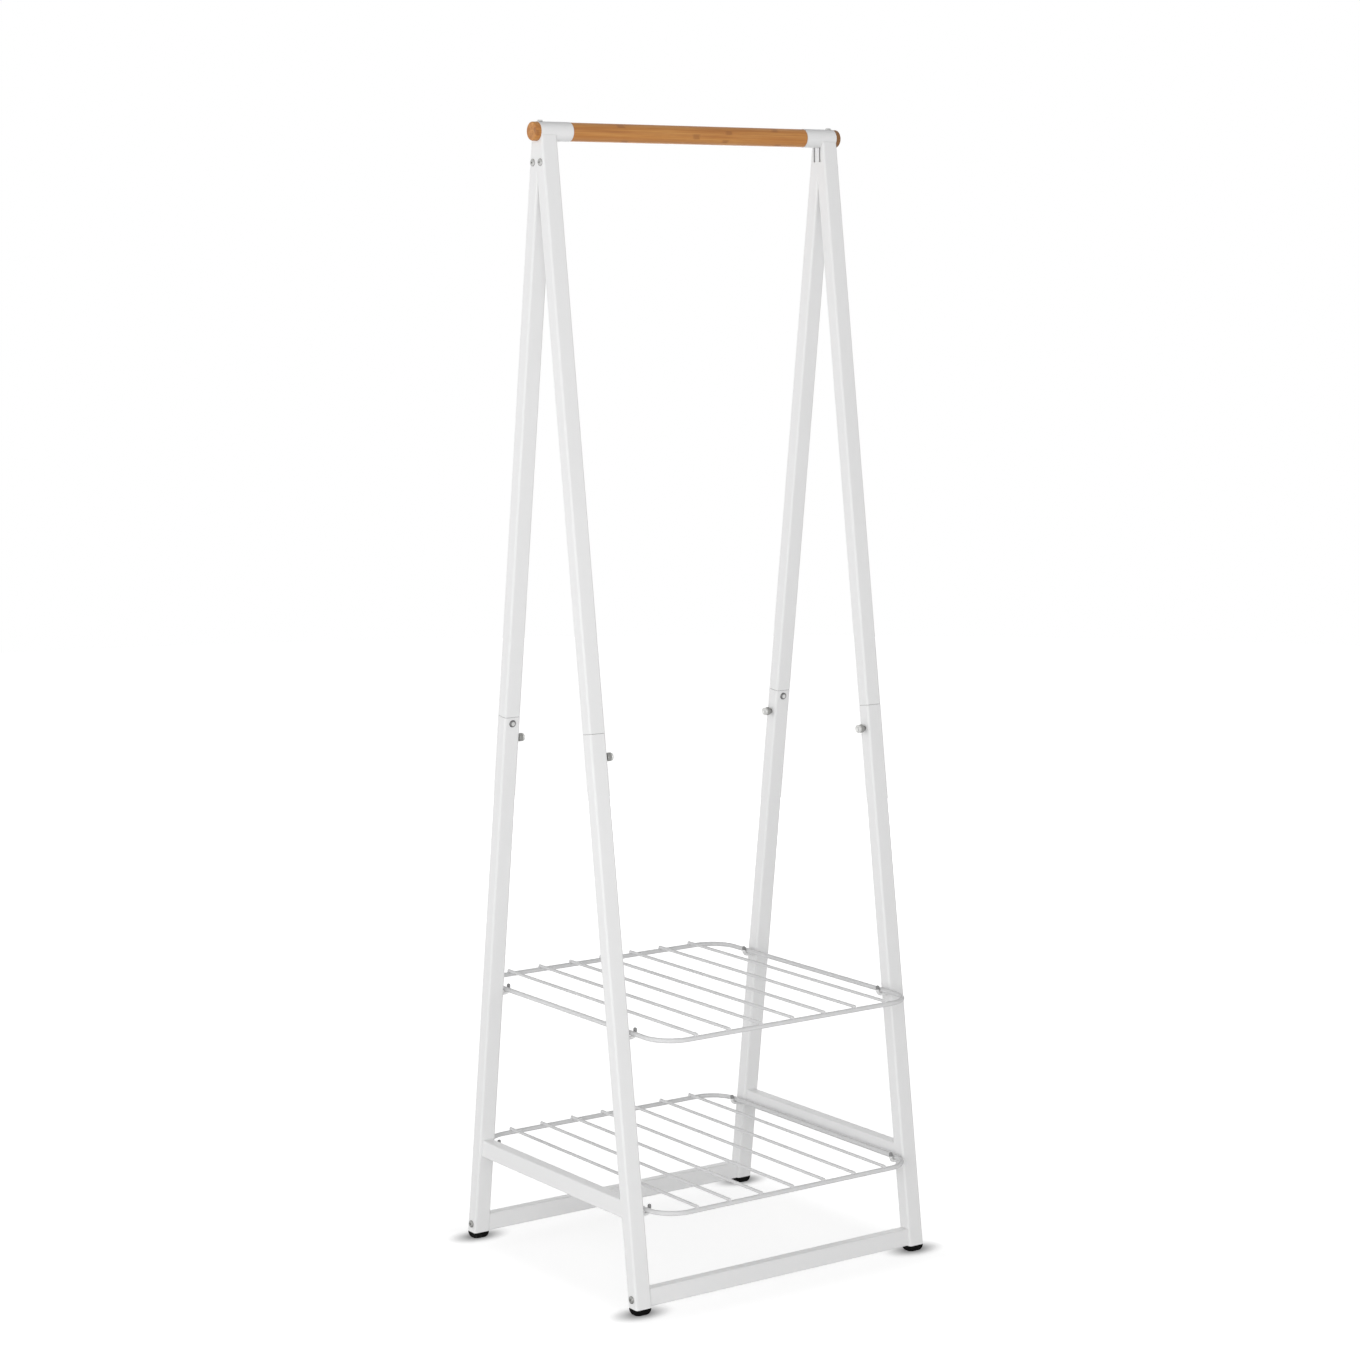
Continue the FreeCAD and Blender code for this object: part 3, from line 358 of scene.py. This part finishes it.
# Pieces that the solids carry: turned fixings and welds

def new_piece(name, mesh_data, body, slot, *finishes):
    mesh = bpy.data.meshes.new(name)
    mesh_data.to_mesh(mesh)
    mesh_data.free()
    for face in mesh.polygons:
        face.use_smooth = True
    for finish in finishes:
        mesh.materials.append(finish)
    piece = bpy.data.objects.new(name, mesh)
    bpy.context.scene.collection.objects.link(piece)
    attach(piece, body)
    return piece


def turned_mesh(profile, bright_from, origin, axis, up, steps, groove=None):
    """A solid turned about an axis, from a profile of (distance, radius, grooved) in millimetres.

    Faces past bright_from get the second finish.
    """
    mesh = bmesh.new()
    side = axis.cross(up)
    rings = []
    for out, radius, grooved in profile:
        ring = []
        for step in range(steps):
            angle = 2 * math.pi * step / steps
            reach = radius * MM - (groove(angle) if grooved else 0.0)
            across = math.cos(angle) * side + math.sin(angle) * up
            ring.append(mesh.verts.new(origin + out * MM * axis + reach * across))
        rings.append(ring)
    for index, (first, second) in enumerate(zip(rings, rings[1:])):
        for step in range(steps):
            after = (step + 1) % steps
            face = mesh.faces.new((first[step], first[after], second[after], second[step]))
            face.material_index = int(profile[index][0] >= bright_from)
    mesh.faces.new(rings[0])
    mesh.faces.new(rings[-1]).material_index = 1
    bmesh.ops.recalc_face_normals(mesh, faces=mesh.faces)
    return mesh


# Thumbscrews: millimetres from the tip of the thread, radius in millimetres, knurled or not
THUMB_PROFILE = (
    (0.0, 2.4, False), (0.5, 3.0, False), (7.9, 3.0, False), (8.0, 3.05, False),
    (8.0, 3.95, False), (8.15, 4.0, False), (12.2, 4.0, False), (12.35, 3.95, False),
    (12.5, 4.1, False), (12.5, 5.7, False), (12.6, 5.85, False), (13.55, 6.85, False),
    (13.75, 7.0, True), (19.6, 7.0, True), (19.75, 6.7, False), (19.95, 6.55, False),
    (20.4, 6.55, False), (20.6, 6.7, False), (20.8, 6.95, False), (22.2, 6.95, False),
    (22.9, 6.65, False), (23.3, 6.1, False), (23.45, 5.5, False), (23.45, 4.9, False),
    (23.3, 4.75, False), (23.3, 1.2, False), (23.2, 0.9, False), (23.15, 0.2, False))
# Up to here the thread, neck and knurled band take the darker zinc: painted shade for the shade in the
# knurl and at the neck; the knurl's grooves are modelled too.
THUMB_SHADED_BAND_END = 19.6
KNURL_RIDGES = 40
KNURL_STEPS = 6
KNURL_DEPTH = 0.36 * MM


def knurl_depth(angle):
    """V-shaped grooves along the head."""
    return KNURL_DEPTH * abs((angle * KNURL_RIDGES / (2 * math.pi)) % 1.0 - 0.5) * 2


def make_thumbscrews():
    for corner in CORNERS:
        low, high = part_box("thumbscrew_" + corner)
        inward = 1 if corner.endswith("left") else -1
        tip = low[0] if inward > 0 else high[0]
        origin = Vector((tip, (low[1] + high[1]) / 2, (low[2] + high[2]) / 2))
        # The darker zinc on the thread, neck and knurled band is painted shade; the smooth end is
        # plain zinc.
        mesh = turned_mesh(THUMB_PROFILE, THUMB_SHADED_BAND_END, origin, Vector((inward, 0, 0)),
                           Vector((0, 0, 1)), KNURL_RIDGES * KNURL_STEPS, knurl_depth)
        piece = new_piece("knurled_thumbscrew_" + corner, mesh, "thumbscrew_" + corner, "zinc_steel",
                          GREY_ZINC, ZINC)
        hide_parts("thumbscrew_" + corner)


# Snap buttons: millimetres from the leg's centreline, radius in millimetres
LEAN = math.radians(7.5154)
HALF_SPREAD = 250 * MM
LEG_PLANE = 281.5 * MM
SEAM_HEIGHT = 926 * MM
BUTTON_DROP = 10.5 * MM
BUTTON_PROFILE = (
    (8.0, 7.5, False), (8.15, 7.7, False), (9.35, 7.7, False), (9.5, 7.5, False),
    (9.5, 6.0, False), (12.7, 6.0, False), (13.3, 5.92, False), (13.85, 5.65, False),
    (14.3, 5.15, False), (14.6, 4.4, False), (14.8, 3.5, False), (14.9, 2.6, False),
    (14.97, 1.5, False), (14.98, 0.2, False))
# Past this the dome's centre takes the brighter zinc, a painted highlight for the dome's reflection;
# the rest takes the darker zinc.
BUTTON_HIGHLIGHT_FROM = 14.8
BUTTON_STEPS = 48


def button_axis(corner):
    """The point on the leg's centreline behind a snap button, and the way the button looks."""
    side = -1 if corner.endswith("left") else 1
    end = -1 if corner.startswith("front") else 1
    along = SEAM_HEIGHT / math.cos(LEAN) - BUTTON_DROP
    away = HALF_SPREAD - along * math.sin(LEAN)
    origin = Vector((side * LEG_PLANE, end * away, along * math.cos(LEAN)))
    return origin, Vector((0, -end * math.cos(LEAN), -math.sin(LEAN)))


def make_snap_buttons():
    for corner in CORNERS:
        origin, axis = button_axis(corner)
        # Darker zinc on the dome, with a painted highlight at its centre.
        mesh = turned_mesh(BUTTON_PROFILE, BUTTON_HIGHLIGHT_FROM, origin, axis, Vector((1, 0, 0)),
                           BUTTON_STEPS)
        piece = new_piece("domed_button_" + corner, mesh, "snap_button_" + corner, "zinc_steel",
                          DULL_ZINC, ZINC)
        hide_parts("snap_button_" + corner)


def make_leaf_springs():
    bpy.context.view_layer.update()
    for corner in CORNERS:
        solid = frame["nodes"]["button_spring_" + corner]
        piece = bpy.data.objects.new("bending_leaf_" + corner, solid.data.copy())
        bpy.context.scene.collection.objects.link(piece)
        piece.matrix_world = solid.matrix_world
        piece.data.materials.clear()
        piece.data.materials.append(ZINC)
        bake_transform(piece)
        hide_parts("button_spring_" + corner)


# Weld beads where the side rails meet the legs
RAIL_CORNER = 2.5 * MM
BEAD_RADIUS = 1.5 * MM
BEAD_RIPPLE = 0.22 * MM
BEAD_RIPPLE_PITCH = 2.3 * MM
BEAD_STEP = 0.7 * MM
BEAD_SIDES = 8
CORNER_PARTS = 6


def rounded_outline(half_width, half_height, corner, step):
    """Points round a rectangle with round corners, about a step apart."""
    points = []
    for quarter in range(4):
        across = 1 if quarter in (0, 3) else -1
        above = 1 if quarter in (0, 1) else -1
        centre = Vector((across * (half_width - corner), above * (half_height - corner)))
        for part in range(CORNER_PARTS + 1):
            angle = math.pi / 2 * (quarter + part / CORNER_PARTS)
            points.append(centre + corner * Vector((math.cos(angle), math.sin(angle))))
    closed = points + points[:1]
    even = []
    for first, second in zip(closed, closed[1:]):
        pieces = max(1, round((second - first).length / step))
        even += [first.lerp(second, part / pieces) for part in range(pieces)]
    return even


def swept_ring(mesh, path, radius_at, sides):
    """A closed tube round a loop of points."""
    count = len(path)
    centre = sum(path, Vector()) / count
    rings = []
    for index, spot in enumerate(path):
        ahead = (path[(index + 1) % count] - path[index - 1]).normalized()
        outward = (spot - centre).normalized()
        side = ahead.cross(outward).normalized()
        outward = side.cross(ahead)
        reach = radius_at(index)
        ring = []
        for part in range(sides):
            angle = 2 * math.pi * part / sides
            away = math.cos(angle) * outward + math.sin(angle) * side
            ring.append(mesh.verts.new(spot + reach * away))
        rings.append(ring)
    for index, first in enumerate(rings):
        second = rings[(index + 1) % count]
        for part in range(sides):
            after = (part + 1) % sides
            mesh.faces.new((first[part], first[after], second[after], second[part]))


def make_rail_welds():
    for side in ("left", "right"):
        low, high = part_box("side_rail_" + side)
        middle = (low[0] + high[0]) / 2
        base = (low[2] + high[2]) / 2
        half_width = (high[0] - low[0]) / 2
        half_height = (high[2] - low[2]) / 2
        outline = rounded_outline(half_width, half_height, RAIL_CORNER, BEAD_STEP)
        mesh = bmesh.new()
        for sign, end in ((1, high[1]), (-1, -low[1])):
            path = []
            for across, above in outline:
                away = end - (base + above - low[2]) * math.tan(LEAN)
                path.append(Vector((middle + across, sign * away, base + above)))

            def ripple(index):
                wave = math.sin(2 * math.pi * index * BEAD_STEP / BEAD_RIPPLE_PITCH)
                return BEAD_RADIUS + BEAD_RIPPLE * (wave + random.uniform(-0.5, 0.5))
            swept_ring(mesh, path, ripple, BEAD_SIDES)
        bmesh.ops.recalc_face_normals(mesh, faces=mesh.faces)
        new_piece("side_rail_welds_" + side, mesh, "frame", "white_steel", WHITE)


# Weld nuggets where the shelves' cross wires lie on the rim
RIM_RADIUS = 4 * MM
CROSS_COUNT = 7
CROSS_EDGE = 64.5 * MM
NUGGET_SIZE = Vector((1.6, 2.8, 1.1)) * MM
NUGGET_SIDE = 2.4 * MM
NUGGET_RISE = 3.9 * MM


def make_shelf_welds():
    for shelf in ("upper_shelf", "lower_shelf"):
        low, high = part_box(shelf)
        rim = low[2] + RIM_RADIUS
        first = low[0] + RIM_RADIUS + CROSS_EDGE
        pitch = (high[0] - low[0] - 2 * (RIM_RADIUS + CROSS_EDGE)) / (CROSS_COUNT - 1)
        mesh = bmesh.new()
        for number in range(CROSS_COUNT):
            for edge in (low[1] + RIM_RADIUS, high[1] - RIM_RADIUS):
                for sign in (-1, 1):
                    beside = first + number * pitch + sign * NUGGET_SIDE
                    spot = Vector((beside, edge, rim + NUGGET_RISE))
                    size = Matrix.Diagonal(NUGGET_SIZE * random.uniform(0.85, 1.15)).to_4x4()
                    place = Matrix.Translation(spot) @ size
                    bmesh.ops.create_icosphere(mesh, subdivisions=2, radius=1.0, matrix=place)
        new_piece(shelf + "_welds", mesh, shelf, "white_steel", SHADED_WIRE_WHITE)


# Studio

def area_light(name, place, aim, size, power):
    data = bpy.data.lights.new(name, "AREA")
    data.shape = "SQUARE"
    data.size = size
    data.energy = power
    light = bpy.data.objects.new(name, data)
    light.location = place
    light.rotation_euler = (Vector(aim) - Vector(place)).to_track_quat("-Z", "Y").to_euler()
    bpy.context.scene.collection.objects.link(light)


def seen_ray(tree):
    """1 for rays that show the background itself: camera, glossy and transmission rays."""
    rays = add(tree, "LightPath")
    shiny = sum_up(tree, "MAXIMUM", rays.outputs["Is Glossy Ray"], rays.outputs["Is Transmission Ray"])
    return sum_up(tree, "MAXIMUM", rays.outputs["Is Camera Ray"], shiny)


# The room as light: its level at the horizon and above, and the side where it is dimmer
AMBIENT_LEVEL = 1.30
AMBIENT_ABOVE = 0.15
AMBIENT_RISE = 1.116
DIM_SIDE = (0.725, 0.688, 0.0)
DIM_SHARE = 0.35
DIM_FROM = -0.232
DIM_TO = 0.485


def make_world():
    """White where it is seen, and as light a pale room that is dimmer overhead and to one side."""
    world = bpy.data.worlds.new("studio")
    bpy.context.scene.world = world
    world.use_nodes = True
    tree = world.node_tree
    back = tree.nodes["Background"]
    back.inputs["Color"].default_value = (1, 1, 1, 1)
    way = add(tree, "TexCoord").outputs["Generated"]
    rise = add(tree, "SeparateXYZ", Vector=way).outputs["Z"]
    ambient = spread(tree, rise, 0.0, AMBIENT_RISE, AMBIENT_LEVEL, AMBIENT_ABOVE)
    sideways = add(tree, "VectorMath", {"operation": "DOT_PRODUCT"})
    feed(tree, sideways.inputs[0], way)
    sideways.inputs[1].default_value = DIM_SIDE
    dimmed = spread(tree, sideways.outputs["Value"], DIM_FROM, DIM_TO, 1.0, DIM_SHARE)
    ambient = sum_up(tree, "MULTIPLY", ambient, dimmed)
    seen = seen_ray(tree)
    unseen = sum_up(tree, "SUBTRACT", 1.0, seen)
    strength = sum_up(tree, "ADD", seen, sum_up(tree, "MULTIPLY", ambient, unseen))
    tree.links.new(strength, back.inputs["Strength"])


FLOOR_RADIUS = 9.0
FLOOR_SEGMENTS = 96
FLOOR_BOUNCE = (0.90, 0.90, 0.90, 1)
FLOOR_SEEN = (0.40, 0.40, 0.40, 1)
# The floor's own glow, with a painted shadow under the rack and a painted contact shadow round each
# foot:
# from and to in metres, and the glow at each
RACK_PAINTED_SHADOW = (0.26, 0.42, 0.725, 0.92)
FOOT_PAINTED_SHADOW = (0.006, 0.042, 0.15, 1.0)
FOOT_SHADOW_STRETCH = 0.62


def make_floor():
    mesh = bmesh.new()
    bmesh.ops.create_circle(mesh, cap_ends=True, segments=FLOOR_SEGMENTS, radius=FLOOR_RADIUS)
    data = bpy.data.meshes.new("floor")
    mesh.to_mesh(data)
    mesh.free()
    floor = bpy.data.objects.new("floor", data)
    bpy.context.scene.collection.objects.link(floor)
    material, tree, surface, place = new_material("pale_floor")
    seen = seen_ray(tree)
    feed(tree, surface.inputs["Base Color"], mix(tree, seen, FLOOR_BOUNCE, FLOOR_SEEN))
    surface.inputs["Roughness"].default_value = 0.9
    surface.inputs["Specular IOR Level"].default_value = 0.0
    surface.inputs["Emission Color"].default_value = (1, 1, 1, 1)
    parts = add(tree, "SeparateXYZ", Vector=place)
    across = sum_up(tree, "ABSOLUTE", parts.outputs["X"])
    along = sum_up(tree, "ABSOLUTE", parts.outputs["Y"])
    # Painted shadow: the glow is lower under the rack's footprint.
    glow_and_painted_shadow = spread(tree, sum_up(tree, "MAXIMUM", across, along), *RACK_PAINTED_SHADOW)
    sideways = sum_up(tree, "SUBTRACT", across, LEG_PLANE)
    sideways = sum_up(tree, "MULTIPLY", sideways, FOOT_SHADOW_STRETCH)
    lengthways = sum_up(tree, "SUBTRACT", along, HALF_SPREAD)
    from_foot = add(tree, "CombineXYZ", X=sideways, Y=lengthways)
    spacing = add(tree, "VectorMath", {"operation": "LENGTH"})
    feed(tree, spacing.inputs[0], from_foot.outputs["Vector"])
    # Painted contact shadow: the glow is lowest round each foot.
    glow_and_painted_shadow = sum_up(tree, "MULTIPLY", glow_and_painted_shadow, spread(tree, spacing.outputs["Value"], *FOOT_PAINTED_SHADOW))
    feed(tree, surface.inputs["Emission Strength"], sum_up(tree, "MULTIPLY", glow_and_painted_shadow, seen))
    data.materials.append(material)


# Lamps: name, place, size in metres, power in watts
LAMP_AIM = (0, 0, 0.9)
LAMPS = (
    ("key_left", (-3.4, 2.0, 1.1), 2.6, 22),
    ("fill_front", (-1.7, -2.0, 0.9), 1.2, 17),
    ("back_right", (2.9, 3.5, 1.0), 2.6, 72))


def make_studio():
    make_world()
    make_floor()
    for name, place, size, power in LAMPS:
        area_light(name, place, LAMP_AIM, size, power)
    bpy.context.scene.view_settings.view_transform = "Standard"


make_camera()
paint_nodes()
make_thumbscrews()
make_snap_buttons()
make_leaf_springs()
make_rail_welds()
make_shelf_welds()
make_studio()
